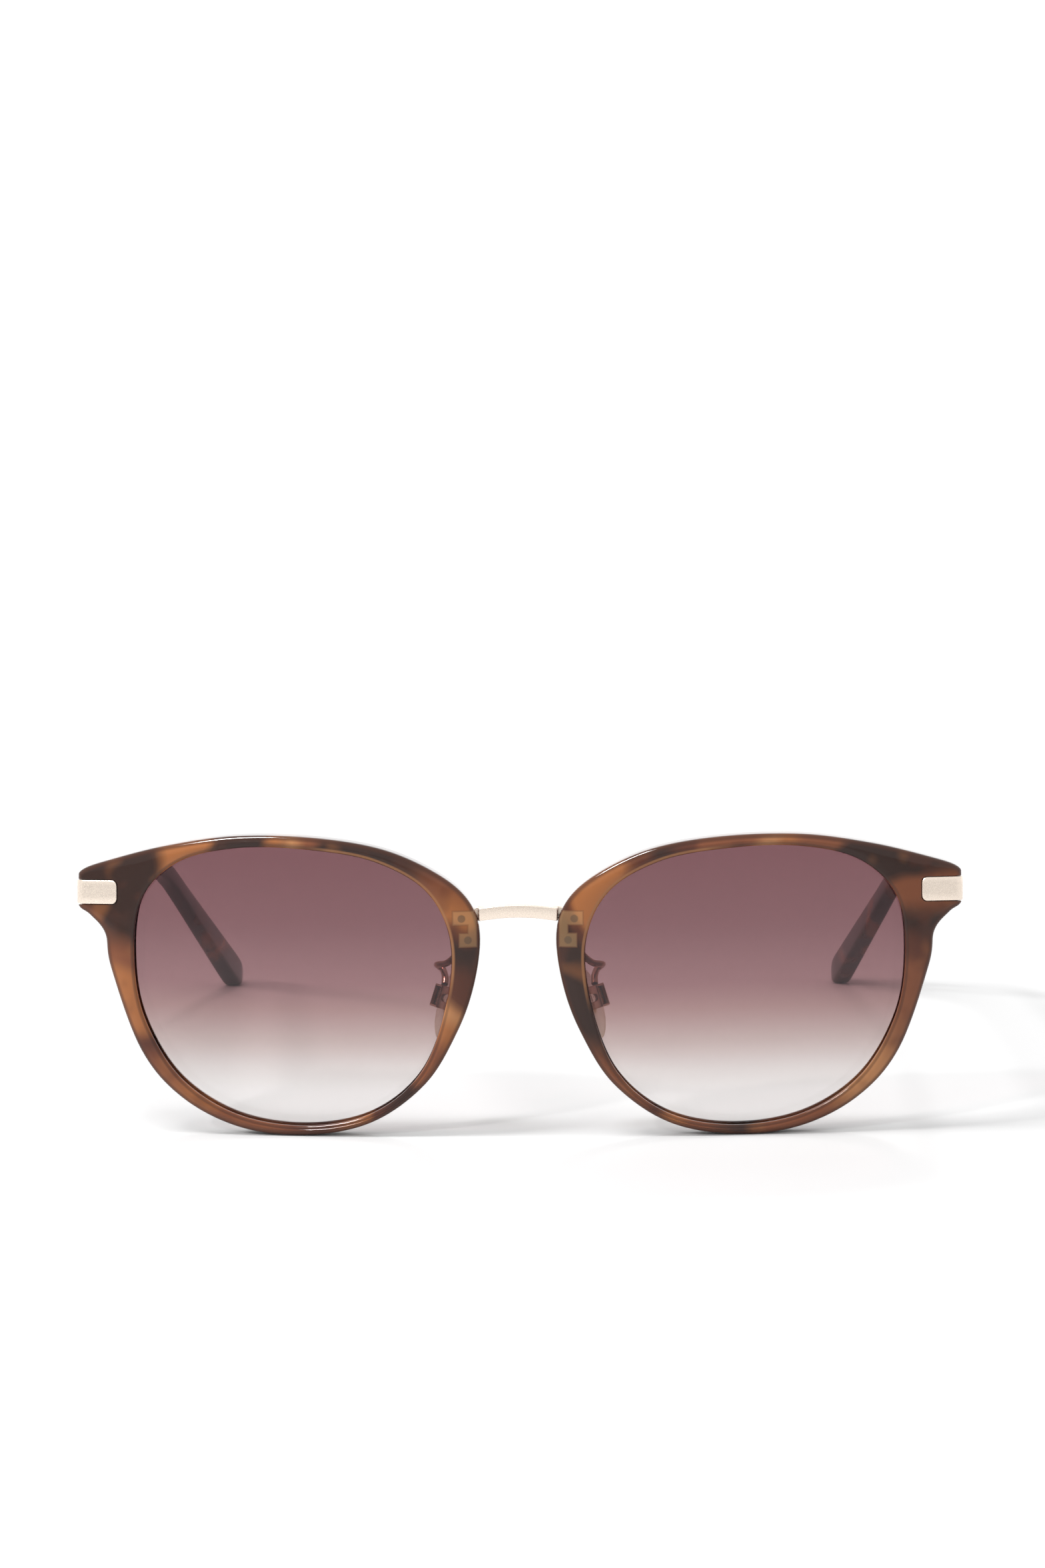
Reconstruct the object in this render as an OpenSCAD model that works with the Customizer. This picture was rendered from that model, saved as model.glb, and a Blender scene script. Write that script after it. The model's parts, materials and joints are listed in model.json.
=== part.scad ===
// Cat eye sunglasses: two acetate rims joined by a riveted metal bridge, gradient lenses,
// adjustable nose pads, metal end caps, barrel hinges and wire-cored acetate temples.
// Units are millimetres. The front faces -Y, Z is up and +X is the wearer's left.
// Z = 0 is the table that the rims and the temple tips stand on.

/* [Lenses and rims] */
// Width of each lens as seen through its rim
lens_w = 50.6; // [50:0.1:51.2]
// Height of each lens as seen through its rim
lens_h = 44.7; // [44.3:0.1:45.1]
// Distance between the centres of the two lenses
lens_spacing = 70.8; // [70.6:0.1:71.4]
// Radius of the spherical front surface, about a base 4 curve
front_r = 132; // [130:1:136]
// Wrap of each lens towards the temple, in degrees
face_form = 5; // [4.5:0.5:5.5]
// Thickness of the rims
rim_t = 4; // [3.8:0.1:4.2]
// Thickness of the lenses
lens_t = 2; // [1.8:0.1:2.2]

/* [Bridge and nose pads] */
// Height of the bridge band
bridge_h = 2; // [1.8:0.1:2.2]
// Thickness of the bridge band
bridge_t = 0.9; // [0.8:0.05:1]
// Diameter of the pad arm wire
arm_d = 1.1; // [1:0.05:1.2]
// Length of each nose pad
pad_l = 12.5; // [12:0.5:13]
// Width of each nose pad
pad_w = 7.4; // [7:0.1:7.6]

/* [Temples and hinges] */
// Downward slope of the temples and tilt of the hinge axes, in degrees
panto = 6; // [5.8:0.1:6.2]
// Thickness of each temple at the hinge
temple_t = 3; // [2.9:0.1:3.2]
// Height of each temple at the hinge
temple_h = 5.2; // [4.8:0.1:5.4]
// Length of the straight run, from the hinge axis to the ear bend
temple_run = 80; // [78:0.5:82]
// Radius of the ear bend on the middle line
bend_r = 26; // [24:1:28]
// Angle by which the ear bend turns the tip down, in degrees
bend_angle = 33; // [32:0.5:34]
// Outer radius of the hinge barrels
barrel_r = 1.25; // [1.2:0.05:1.25]
// Radius of the hinge screw's shank
screw_r = 0.6; // [0.55:0.05:0.6]

/* [Hidden] */
$fn = 64;
past = 1;              // how far a cutting shape runs past what it cuts
fit = 0.05;            // clearance of running fits

// Outlines about the lens centre, x towards the temple and y up, for the default lens size.
// Most of the points were printed by a scratch program that corrected hand-chosen ones for perspective,
// and were pasted in. They are not a design worked out here, as report.md explains.
lens_points = [
    [25.9, 3.0], [24.6, 12.7], [18.4, 18.9], [8.3, 21.3], [-3.2, 21.0],
    [-13.1, 19.1], [-21.1, 14.3], [-24.7, 6.3], [-23.8, -4.2], [-19.8, -14.6],
    [-12.0, -21.2], [-1.4, -23.4], [9.8, -21.7], [18.8, -15.9], [24.3, -6.6]
];
rim_points = [
    [29.8, 1.5], [30.7, 7.0], [33.1, 9.8], [34.8, 10.9], [35.3, 12.2],
    [35.3, 15.2], [34.4, 17.0], [30.0, 18.7], [20.7, 21.3], [9.5, 23.1],
    [-3.0, 23.0], [-14.0, 21.2], [-22.5, 17.4], [-27.6, 13.0], [-29.4, 7.5],
    [-28.4, -0.5], [-25.6, -8.2], [-20.5, -16.5], [-11.9, -22.8], [-1.3, -25.0],
    [9.4, -23.9], [18.6, -19.3], [25.1, -11.7]
];
size_scale = [lens_w / 50.6, lens_h / 44.7];
spline_steps = 6;

// A closed Catmull-Rom spline through the points p
function spline_at(a, b, c, d, t) =
    0.5 * (2 * b + (c - a) * t + (2 * a - 5 * b + 4 * c - d) * t * t
        + (3 * b - a - 3 * c + d) * t * t * t);
function closed_spline(p, n = spline_steps) = [
    for (i = [0 : len(p) - 1], k = [0 : n - 1])
        spline_at(p[(i + len(p) - 1) % len(p)], p[i], p[(i + 1) % len(p)], p[(i + 2) % len(p)], k / n)
];
// An open one, which starts and ends at its first and last points
function open_spline(p, n = spline_steps) = concat([
    for (i = [0 : len(p) - 2], k = [0 : n - 1])
        spline_at(p[max(i - 1, 0)], p[i], p[i + 1], p[min(i + 2, len(p) - 1)], k / n)
], [p[len(p) - 1]]);
// The closed outline p moved outwards by d
function grow(p, d) = [
    for (i = [0 : len(p) - 1])
        let (t = p[(i + 1) % len(p)] - p[(i + len(p) - 1) % len(p)])
        p[i] + d * [t[1], -t[0]] / norm(t)
];
function scaled(p) = [for (q = p) [q[0] * size_scale[0], q[1] * size_scale[1]]];
function reversed(p) = [for (i = [len(p) - 1 : -1 : 0]) p[i]];
function arc(c, r, a0, a1, n = 12) = [
    for (i = [0 : n]) let (a = a0 + (a1 - a0) * i / n) c + r * [cos(a), sin(a)]
];

// The front's outlines, with the rims' lowest point on the table
rim_shape = closed_spline(scaled(rim_points));
lens_z = -min([for (p = rim_shape) p[1]]);
lens_shape = closed_spline(scaled(lens_points));
function on_front(p) = [for (q = p) q + [lens_spacing / 2, lens_z]];

// Each front surface is a sphere whose centre is moved inwards by the wrap
sphere_x = lens_spacing / 2 - front_r * sin(face_form);
lens_inset = (rim_t - lens_t) / 2;      // lens front behind the rim front
groove_gap = 0.1;                       // play of the lens in its groove
groove_depth = 0.7;

// The hinge frame: its Z is the hinge axis and its Y runs back along the temple
end_x = lens_spacing / 2 + 35.1 * size_scale[0];
hinge_x = end_x - 4.8;
hinge_z = lens_z + 12.6 * size_scale[1];
hinge_y = 18;
mitre_y = -barrel_r - 0.2;              // back face of the rim's end piece
end_low = [-3.7, -3.4];                 // inner side and bottom of the end piece's thick part
end_top = 3.6;
end_deep = 12;                          // more than the end piece's thickness
front_deep = 17;                        // more than the whole front's depth
// The front sphere's centre in the hinge frame, where the end piece is drawn
arc_c = [
    sphere_x - hinge_x,
    (front_r - hinge_y) * cos(panto) - (lens_z - hinge_z) * sin(panto)
];
end_side = end_x - hinge_x;
corner_r = 1.6;

// The end cap: a strip that lies in a pocket round the corner of the end piece
cap_h = 3.8;
cap_in = -1.7;                          // its inner end
cap_deep = 0.5;                         // how far it is let in
cap_proud = 0.2;
cap_gap = 0.08;
cap_round = 0.9;

// The temple, drawn along its middle line in the hinge frame
temple_in = barrel_r + 0.35;            // inner face
temple_mid = temple_in + temple_t / 2;
temple_front = mitre_y + 0.1;
temple_heights = [[0, temple_h], [40, 4], [80, 3.5], [100, 4], [125, 5.6]];
temple_widths = [[0, temple_t], [60, 2.7], [100, 2.9], [128, 3.3]];
plan_run = 74;                          // where the tips start to turn inwards
plan_r = 70;
plan_angle = 16;
bend_l = bend_r * bend_angle * PI / 180;
tip_r = 2.8;
bend_end = [temple_run + bend_r * sin(bend_angle), -bend_r * (1 - cos(bend_angle))];
bend_end_z = hinge_z - bend_end[0] * sin(panto) + bend_end[1] * cos(panto);
tip_l = (bend_end_z - tip_r) / sin(panto + bend_angle);   // brings the tip down to the table
tip_s = temple_run + bend_l + tip_l;
tip_y = hinge_y + bend_end[0] * cos(panto) + bend_end[1] * sin(panto)
    + tip_l * cos(panto + bend_angle);
core_h = 1.4;
core_t = 0.8;
core_off = 0.25;                        // outwards from the middle line
core_s = [10, tip_s - 5];

// The whole is moved so that its box is centred in Y, from the rims' fronts to the temple tips
function dip(p) =
    let (x = p[0] + lens_spacing / 2 - sphere_x)
    front_r - sqrt(pow(front_r, 2) - pow(x, 2) - pow(p[1], 2));
rim_front = min([for (p = lens_shape) dip(p)]);
y_mid = (rim_front + tip_y + tip_r) / 2;

// Bridge and its plates, behind the nasal side of each rim
bridge_top = lens_z + 12.2;
bridge_r = 34;                          // radius of the arch
bridge_front = 2.2;
leg_x = 6.3;                            // outside of the band's backward legs
leg_bend = bridge_t + 0.2;              // outer radius of the turn into each leg
plate_y = 4.45;
plate_t = 0.8;
plate_x = 6.5;
plate_bars = [                          // [outer end, bottom, top] about the lens centre
    [7.9, 5.6, 11.3], [10.3, 9.1, 11.3], [9.3, 5.6, 7.8]
];
rivet_r = 0.6;
rivet_l = 2.6;
rivets = [[8.9, 10.1], [7.9, 6.7]];
arm_foot = [7.9, 1.3, 7.85, 1.2];       // x, width, bottom and height of the brazed foot

// The pad's own frame: Z along the pad, Y across it and -X towards the nose
pad_c = [10.6, 10, lens_z - 5];
pad_splay = 30;
pad_lean = 20;
box_x = 1.2;
box_size = [2.4, 2.4, 3.7];
box_wall = 0.35;
box_z = 0.5;
pivot_x = box_x + 1.1;
pad_screw_r = 0.4;
boss = [3.0, 1.3, 2.6];                 // end, width and height of the insert's boss
insert_x = 0.1;
insert_t = 0.45;
arm_route = [                           // heights about the lens centre
    [8.6, 5.3, 8.45], [8.8, 7.3, 6.9], [9.7, 8.9, 3.7], [11.5, 9.9, 1.7],
    [13.0, 10.9, 1.2], [13.2, 12.2, 0.9], [12.4, 12.3, 0.2], [12.0, 11.0, -0.7],
    [11.9, 9.4, -2.0]
];

// Hinge leaves
knuckle_top = 2.1;
knuckle_mid = 0.7;
leaf_t = 0.8;
front_leaf = [-3.2, 1.4];               // its ends
temple_leaf = [1.5, 8.6];
pin_r = 0.45;
front_pins = [[-2.2, 1.15], [-2.2, -1.15]];
temple_pins = [4, 7.1];
leaf_x = temple_in - 0.3;

// Places: everything is drawn for the wearer's left and mirrored for the right
module left() translate([0, -y_mid, 0]) children();
module right() translate([0, -y_mid, 0]) mirror([1, 0, 0]) children();
module at_hinge() translate([hinge_x, hinge_y, hinge_z]) rotate([-panto, 0, 0]) children();
module at_pad() translate(pad_c) rotate([0, -pad_lean, -pad_splay]) children();

// An outline in the XZ plane extruded from y0 to y1, one in YZ along X, and boxes by corners
module along_y(p, y0, y1) translate([0, y1, 0]) rotate([90, 0, 0]) linear_extrude(y1 - y0) polygon(p);
module along_x(p, x0, x1) translate([x0, 0, 0]) rotate([90, 0, 90]) linear_extrude(x1 - x0) polygon(p);
module block(a, b) translate(a) cube(b - a);
module rod_y(x, z, r, y0, y1) translate([x, y1, z]) rotate([90, 0, 0]) cylinder(h = y1 - y0, r = r);
module rod_x(y, z, r, x0, x1) translate([x0, y, z]) rotate([0, 90, 0]) cylinder(h = x1 - x0, r = r);

// The layer of the front between two depths under its spherical surface
module front_layer(d0, d1) translate([sphere_x, front_r, lens_z]) difference() {
    sphere(r = front_r - d0, $fn = 200);
    sphere(r = front_r - d1, $fn = 200);
}

// The end piece's line in the hinge frame, moved out by d: front arc, corner, side
function wrap_line(d, x0, y1) =
    let (
        r = corner_r + d,
        side = end_side + d,
        big = front_r + d - r,
        c = [side - r, arc_c[1] - sqrt(pow(big, 2) - pow(side - r - arc_c[0], 2))],
        turn = atan2(c[1] - arc_c[1], c[0] - arc_c[0]),
        first = -acos((x0 - arc_c[0]) / (front_r + d))
    )
    concat(
        arc(arc_c, front_r + d, first, turn, 6),
        arc(c, r, turn, 0, 10),
        [[side, y1]]
    );

// The strip between two such lines, with its inner end rounded
module wrap_strip(d0, d1, x0, y1, h) intersection() {
    linear_extrude(h, center = true)
        polygon(concat(wrap_line(d1, x0, y1), reversed(wrap_line(d0, x0, y1))));
    along_y(concat(
        [[end_side + 4, -h / 2], [end_side + 4, h / 2]],
        arc([x0 + cap_round, h / 2 - cap_round], cap_round, 90, 180),
        arc([x0 + cap_round, -h / 2 + cap_round], cap_round, 180, 270)
    ), -16, 4);
}

// What is outside the rounded corner of the end piece
module corner_waste() {
    line = wrap_line(0, end_side - 3, mitre_y + past);
    linear_extrude(30, center = true)
        polygon(concat(line, [[end_side + 5, mitre_y + past], [end_side + 5, -14], [end_side - 3, -14]]));
}

module bridge_plate(y0, y1) {
    for (b = plate_bars)
        block([plate_x, y0, lens_z + b[1]], [b[0], y1, lens_z + b[2]]);
}

module bridge_arch(x0, x1, y0, y1) intersection() {
    translate([0, y1, bridge_top - bridge_r]) rotate([90, 0, 0]) difference() {
        cylinder(h = y1 - y0, r = bridge_r);
        translate([0, 0, -past]) cylinder(h = y1 - y0 + 2 * past, r = bridge_r - bridge_h);
    }
    block([x0, y0 - past, lens_z], [x1, y1 + past, bridge_top + past]);
}

module rivet_pair() {
    for (q = rivets)
        rod_y(q[0], lens_z + q[1], rivet_r, plate_y - rivet_l + plate_t, plate_y + plate_t);
}

module arm_foot_block(y1)
    block([arm_foot[0], plate_y, lens_z + arm_foot[2]],
        [arm_foot[0] + arm_foot[1], y1, lens_z + arm_foot[2] + arm_foot[3]]);

module front_pin_pair() at_hinge() {
    for (q = front_pins) rod_y(q[0], q[1], pin_r, mitre_y - 2.2, mitre_y + 0.1);
}

module temple_pin_pair() at_hinge() {
    for (y = temple_pins) rod_x(y, 0, pin_r, leaf_x, leaf_x + 2.2);
}

// Rim with its end piece: lens groove, and pockets for the cap, bridge plate and hinge leaf
module rim() color("saddlebrown") difference() {
    intersection() {
        along_y(on_front(rim_shape), -past, front_deep);
        union() {
            front_layer(0, rim_t);
            intersection() {
                front_layer(0, end_deep);
                at_hinge() block([end_low[0], -end_deep, end_low[1]], [end_side + past, mitre_y, end_top]);
            }
        }
    }
    along_y(on_front(lens_shape), -2 * past, front_deep + past);
    intersection() {
        along_y(on_front(grow(lens_shape, groove_depth)), -2 * past, front_deep + past);
        front_layer(lens_inset - groove_gap, lens_inset + lens_t + groove_gap);
    }
    at_hinge() corner_waste();
    at_hinge() wrap_strip(-cap_deep, 3, cap_in - cap_gap, mitre_y + past, cap_h + 2 * cap_gap);
    bridge_plate(plate_y, plate_y + 4);
    bridge_arch(leg_x - bridge_t, plate_x + 1, plate_y, plate_y + 4);
    bridge_arch(0, leg_x + fit, bridge_front - past, plate_y + past);
    arm_foot_block(plate_y + 4);
    rivet_pair();
    at_hinge()
        block([front_leaf[0], mitre_y - leaf_t + 0.1, -knuckle_top], [front_leaf[1], past, knuckle_top]);
    front_pin_pair();
}

// Gradient lens, held in the rim's groove
module lens() color([0.55, 0.4, 0.42, 0.7]) intersection() {
    along_y(on_front(grow(lens_shape, groove_depth - groove_gap)), -past, 17);
    front_layer(lens_inset, lens_inset + lens_t);
}

// Bridge: an arched band whose legs turn back to a riveted plate behind each rim
module half_bridge() {
    back = plate_y + plate_t;
    band = concat(
        [[0, bridge_front + bridge_t], [0, bridge_front]],
        arc([leg_x - leg_bend, bridge_front + leg_bend], leg_bend, -90, 0),
        [[leg_x, plate_y], [plate_x + 0.4, plate_y], [plate_x + 0.4, back], [leg_x - bridge_t, back]],
        arc([leg_x - leg_bend, bridge_front + leg_bend], leg_bend - bridge_t, 0, -90)
    );
    intersection() {
        linear_extrude(60) polygon(band);
        bridge_arch(-past, plate_x + past, 0, 9);
    }
    difference() {
        bridge_plate(plate_y, back);
        rivet_pair();
    }
}

module bridge() color("rosybrown") {
    left() half_bridge();
    right() half_bridge();
}

module bridge_rivets() color("tan") {
    left() rivet_pair();
    right() rivet_pair();
}

// A round wire along the points p, as one closed surface of rings
function wire_dir(p, i) = let (v = p[min(i + 1, len(p) - 1)] - p[max(i - 1, 0)]) v / norm(v);
function wire_ring(c, dir, r, sides) =
    let (a = cross(dir, [0.1, 1, 0.1]), u = a / norm(a), v = cross(dir, u))
    [for (k = [0 : sides - 1]) c + r * (u * cos(360 * k / sides) + v * sin(360 * k / sides))];
module wire(p, r, sides = 12) {
    n = len(p);
    points = [for (i = [0 : n - 1]) each wire_ring(p[i], wire_dir(p, i), r, sides)];
    walls = [
        for (i = [0 : n - 2], k = [0 : sides - 1])
            let (b = i * sides, c = b + sides, m = (k + 1) % sides)
            each [[b + k, c + m, b + m], [b + k, c + k, c + m]]
    ];
    caps = [
        for (k = [1 : sides - 2])
            let (last = (n - 1) * sides)
            each [[0, k, k + 1], [last, last + k + 1, last + k]]
    ];
    polyhedron(points, concat(walls, caps));
}

// Box that holds the pad's boss, open at both ends
module pad_box(hollow = true) {
    a = [box_x, -box_size[1] / 2, box_z - box_size[2] / 2];
    inner = box_size + 2 * [past, -box_wall, -box_wall];
    difference() {
        translate(a) cube(box_size);
        if (hollow) {
            translate(a + [-past, box_wall, box_wall]) cube(inner);
            rod_y(pivot_x, box_z, pad_screw_r, -3, 3);
        }
    }
}

// Pad arm: a foot brazed to the bridge plate, a looped wire and the pad box
module pad_arm() color("rosybrown") {
    arm_foot_block(5.6);
    difference() {
        translate([0, 0, lens_z]) wire(open_spline(arm_route, 3), arm_d / 2);
        at_pad() pad_box(hollow = false);
        block([0, 0, 20], [20, 5.4, 40]);
    }
    at_pad() pad_box();
}

module pad_screw() color("silver") at_pad() {
    half = box_size[1] / 2;
    rod_y(pivot_x, box_z, pad_screw_r, -half, half + 0.15);
    difference() {
        rod_y(pivot_x, box_z, 0.7, -half - 0.4, -half);
        block([pivot_x - 0.1, -half - past, box_z - 1], [pivot_x + 0.1, -half - 0.25, box_z + 1]);
    }
}

// Metal plate moulded into the pad, with the boss that pivots in the box
module pad_insert() color("gold") at_pad() difference() {
    union() {
        translate([insert_x, 0, box_z]) rotate([0, 90, 0]) cylinder(h = insert_t, r = 1.5);
        translate([insert_x, -1.5, box_z - 2.4]) cube([insert_t, 3, 4.8]);
        translate([insert_x, -boss[1] / 2, box_z - boss[2] / 2])
            cube([boss[0] - insert_x, boss[1], boss[2]]);
    }
    rod_y(pivot_x, box_z, pad_screw_r + fit, -3, 3);
}

// Soft pad: an oval with a domed face towards the nose
module nose_pad() color("white", 0.6) difference() {
    at_pad() intersection() {
        translate([-1.1, 0, 0]) rotate([90, 0, 90]) linear_extrude(2)
            polygon([for (a = [0 : 10 : 350]) [pad_w / 2 * cos(a), pad_l / 2 * sin(a)]]);
        translate([18.9, 0, 0]) sphere(r = 20, $fn = 100);
    }
    pad_insert();
    at_pad() block([insert_x, -boss[1] / 2, box_z - boss[2] / 2], [3, boss[1] / 2, box_z + boss[2] / 2]);
}

// Metal strip wrapped round the corner of the end piece
module end_cap() color("rosybrown") at_hinge()
    wrap_strip(-cap_deep, cap_proud, cap_in, mitre_y - fit, cap_h);

// A hinge barrel between two heights, on a web that reaches its leaf
module knuckle(z0, z1, hole, web0, web1) difference() {
    union() {
        translate([0, 0, z0]) cylinder(h = z1 - z0, r = barrel_r);
        block([web0[0], web0[1], z0], [web1[0], web1[1], z1]);
    }
    translate([0, 0, z0 - past]) cylinder(h = z1 - z0 + 2 * past, r = hole);
}

// Front hinge leaf, let into the back of the end piece, with the two outer barrels
module front_hinge() color("silver") difference() {
    at_hinge() {
        back = mitre_y + 0.1;
        block([front_leaf[0], back - leaf_t, -knuckle_top], [front_leaf[1], back, knuckle_top]);
        for (z = [[knuckle_mid + fit, knuckle_top], [-knuckle_top, -knuckle_mid - fit]])
            knuckle(z[0], z[1], screw_r + 0.02, [-barrel_r, back - 0.1], [0.8, 0]);
    }
    front_pin_pair();
    at_hinge() translate([0, 0, -4]) cylinder(h = 8, r = screw_r + 0.02);
}

module front_hinge_pins() color("silver") front_pin_pair();

module hinge_screw() color("gold") at_hinge() {
    translate([0, 0, -knuckle_top - 0.2]) cylinder(h = 2 * knuckle_top + 0.2, r = screw_r);
    difference() {
        translate([0, 0, knuckle_top]) cylinder(h = 0.5, r = 1);
        block([-2, -0.13, knuckle_top + 0.25], [2, 0.13, knuckle_top + past]);
    }
}

// Temple hinge leaf, let into the inner face of the temple, with the middle barrel
module temple_hinge() color("silver") difference() {
    at_hinge() {
        block([leaf_x, temple_leaf[0], -1.5], [leaf_x + leaf_t, temple_leaf[1], 1.5]);
        knuckle(-knuckle_mid, knuckle_mid, screw_r + fit, [0, 0], [leaf_x + 0.1, temple_leaf[0] + 0.6]);
    }
    temple_pin_pair();
}

module temple_hinge_pins() color("silver") temple_pin_pair();

// A point on the temple's middle line seen from the side, and its slope there
function side_slope(s) = max(0, min(1, (s - temple_run) / bend_l)) * bend_angle;
function side_point(s) =
    s < temple_run ? [s, 0]
    : s < temple_run + bend_l
        ? [temple_run + bend_r * sin(side_slope(s)), -bend_r * (1 - cos(side_slope(s)))]
        : bend_end + (s - temple_run - bend_l) * [cos(bend_angle), -sin(bend_angle)];
function side_edge(s, h) = side_point(s) + h * [sin(side_slope(s)), cos(side_slope(s))];

// The same seen from above, where x goes inwards round the head
plan_l = plan_r * plan_angle * PI / 180;
function plan_slope(s) = max(0, min(1, (s - plan_run) / plan_l)) * plan_angle;
function plan_point(s) =
    let (a = plan_slope(s), t = max(0, s - plan_run - plan_l))
    s < plan_run ? [temple_mid, s]
    : [temple_mid - plan_r * (1 - cos(a)) - t * sin(a), plan_run + plan_r * sin(a) + t * cos(a)];
function plan_edge(s, w) = plan_point(s) + w * [cos(plan_slope(s)), sin(plan_slope(s))];

function stations(s0, s1, n) = [for (i = [0 : n]) s0 + (s1 - s0) * i / n];

// Temple blank: its side view and its view from above, crossed
module temple_blank() {
    s = concat([temple_front], stations(10, tip_s, 36));
    side = concat(
        [for (q = s) side_edge(q, lookup(q, temple_heights) / 2)],
        arc(side_point(tip_s), tip_r, 90 - bend_angle - 15, -90 - bend_angle + 15, 14),
        [for (q = reversed(s)) side_edge(q, -lookup(q, temple_heights) / 2)]
    );
    p = concat([temple_front], stations(10, tip_s + 10, 30));
    plan = concat(
        [for (q = p) plan_edge(q, temple_t / 2)],
        [for (q = reversed(p)) plan_edge(q, temple_t / 2 - lookup(q, temple_widths))]
    );
    intersection() {
        along_x(side, -25, 10);
        translate([0, 0, -60]) linear_extrude(80) polygon(plan);
    }
}

// Metal core wire inside the temple
module core_bar() {
    s = stations(core_s[0], core_s[1], 20);
    intersection() {
        along_x(concat(
            [for (q = s) side_edge(q, core_h / 2)],
            [for (q = reversed(s)) side_edge(q, -core_h / 2)]
        ), -25, 10);
        translate([0, 0, -60]) linear_extrude(80) polygon(concat(
            [for (q = s) plan_edge(q, core_off + core_t / 2)],
            [for (q = reversed(s)) plan_edge(q, core_off - core_t / 2)]
        ));
    }
}

// Acetate temple, round-ended, with its hinge leaf and core inside
module temple() color("sienna") difference() {
    at_hinge() temple_blank();
    at_hinge() core_bar();
    at_hinge() block([leaf_x - past, temple_leaf[0], -1.5], [leaf_x + leaf_t, temple_leaf[1], 1.5]);
    temple_pin_pair();
}

module temple_core() color("silver") at_hinge() core_bar();

// The sub-parts of each side
module left_rim() left() rim();
module right_rim() right() rim();
module left_lens() left() lens();
module right_lens() right() lens();
module left_pad_arm() left() pad_arm();
module right_pad_arm() right() pad_arm();
module left_pad_screw() left() pad_screw();
module right_pad_screw() right() pad_screw();
module left_pad_insert() left() pad_insert();
module right_pad_insert() right() pad_insert();
module left_nose_pad() left() nose_pad();
module right_nose_pad() right() nose_pad();
module left_end_cap() left() end_cap();
module right_end_cap() right() end_cap();
module left_front_hinge() left() front_hinge();
module right_front_hinge() right() front_hinge();
module left_front_hinge_pins() left() front_hinge_pins();
module right_front_hinge_pins() right() front_hinge_pins();
module left_hinge_screw() left() hinge_screw();
module right_hinge_screw() right() hinge_screw();
module left_temple_hinge() left() temple_hinge();
module right_temple_hinge() right() temple_hinge();
module left_temple_hinge_pins() left() temple_hinge_pins();
module right_temple_hinge_pins() right() temple_hinge_pins();
module left_temple() left() temple();
module right_temple() right() temple();
module left_temple_core() left() temple_core();
module right_temple_core() right() temple_core();

left_rim();
right_rim();
left_lens();
right_lens();
bridge();
bridge_rivets();
left_pad_arm();
right_pad_arm();
left_pad_screw();
right_pad_screw();
left_pad_insert();
right_pad_insert();
left_nose_pad();
right_nose_pad();
left_end_cap();
right_end_cap();
left_front_hinge();
right_front_hinge();
left_front_hinge_pins();
right_front_hinge_pins();
left_hinge_screw();
right_hinge_screw();
left_temple_hinge();
right_temple_hinge();
left_temple_hinge_pins();
right_temple_hinge_pins();
left_temple();
right_temple();
left_temple_core();
right_temple_core();
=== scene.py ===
"""Sunglasses with tortoise acetate rims, a metal bridge, gradient lenses and folding temples."""
import json
import math

import bmesh
import bpy
import numpy as np
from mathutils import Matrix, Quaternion, Vector
from mathutils.kdtree import KDTree


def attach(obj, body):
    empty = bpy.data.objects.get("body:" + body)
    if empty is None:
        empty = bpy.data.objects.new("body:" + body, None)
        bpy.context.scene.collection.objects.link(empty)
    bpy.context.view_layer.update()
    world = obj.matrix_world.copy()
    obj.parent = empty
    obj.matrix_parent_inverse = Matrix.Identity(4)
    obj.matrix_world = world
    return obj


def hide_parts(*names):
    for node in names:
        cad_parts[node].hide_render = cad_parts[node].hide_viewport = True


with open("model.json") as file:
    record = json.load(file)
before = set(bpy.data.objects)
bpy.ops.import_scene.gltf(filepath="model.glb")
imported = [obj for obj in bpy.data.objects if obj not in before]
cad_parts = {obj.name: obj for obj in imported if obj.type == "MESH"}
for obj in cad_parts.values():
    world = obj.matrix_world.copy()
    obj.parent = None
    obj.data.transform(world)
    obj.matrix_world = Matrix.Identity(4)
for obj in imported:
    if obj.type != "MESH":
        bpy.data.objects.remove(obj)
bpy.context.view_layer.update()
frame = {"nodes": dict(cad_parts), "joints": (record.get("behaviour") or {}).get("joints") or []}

# ---------------------------------------------------------------- sizes, in mm, as in the CAD source
# The CAD is drawn with y = 0 at the bridge and then shifted in Y; the hinge gives the shift back.
joints = {j["name"]: j for j in frame["joints"]}
hinge_pos = [1000 * c for c in joints["left_temple_fold"]["pos_m"]]
HINGE_Y = 18
Y_MID = HINGE_Y - hinge_pos[1]
HINGE_X, HINGE_Z = hinge_pos[0], hinge_pos[2]
LENS_Z = HINGE_Z - 12.6
LENS_X = 35.4
FRONT_R = 132
SPHERE_X = LENS_X - FRONT_R * math.sin(math.radians(5))
PANTO = math.radians(6)
RIM_T = 4
LENS_INSET, LENS_T = 1.0, 2.0
MITRE_Y = -1.45
END_SIDE = 4.8
CORNER_R = 1.6

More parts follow.
